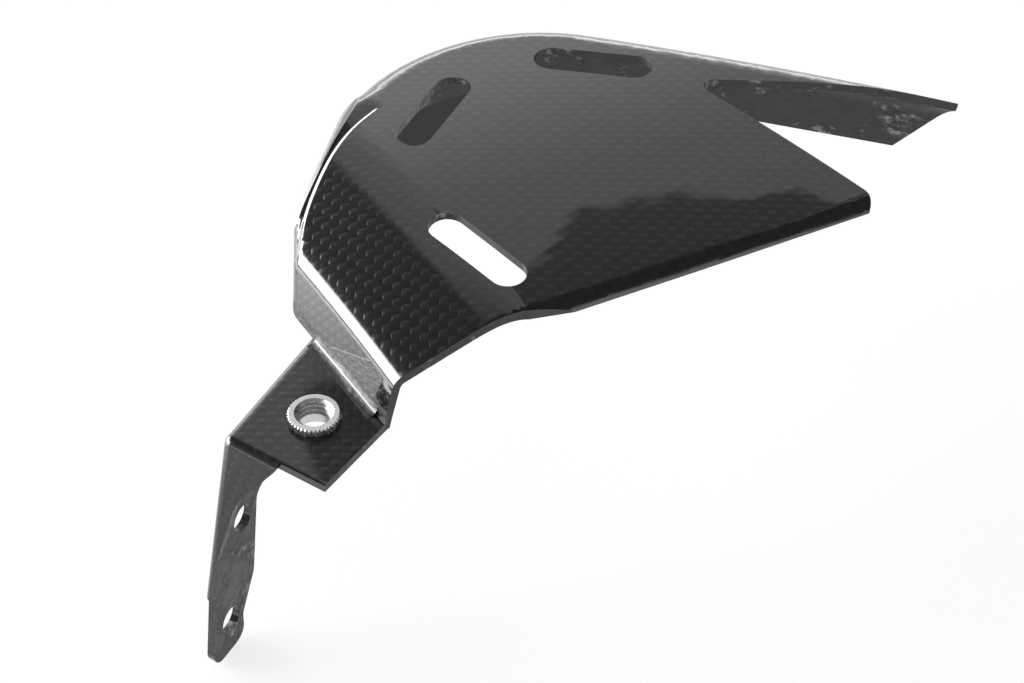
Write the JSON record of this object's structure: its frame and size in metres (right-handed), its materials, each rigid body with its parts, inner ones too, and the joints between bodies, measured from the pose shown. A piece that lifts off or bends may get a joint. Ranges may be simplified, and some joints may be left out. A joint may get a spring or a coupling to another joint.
{
  "type": "sprocket cover",
  "caption": "Domed woven carbon sprocket cover with an open mouth between two prongs, vent slots, a stepped tab with a threaded insert and a drilled leg.",
  "frame": {"origin": "on the threaded insert's axis, level with the outer face of the tab that carries it", "axes": "+Z out of the tab along the insert's thread, +Y from the leg's side of the tab towards the dome, +X along the tab's front edge away from the leg"},
  "size_m": [0.1214, 0.1833, 0.0822],
  "materials": {
    "carbon": "clear-coated plain-weave carbon laminate, matt and rough on its inner side",
    "insert_metal": "bare knurled steel"
  },
  "bodies": {
    "root": {"cover": "carbon", "threaded_insert": "insert_metal"}
  },
  "joints": []
}
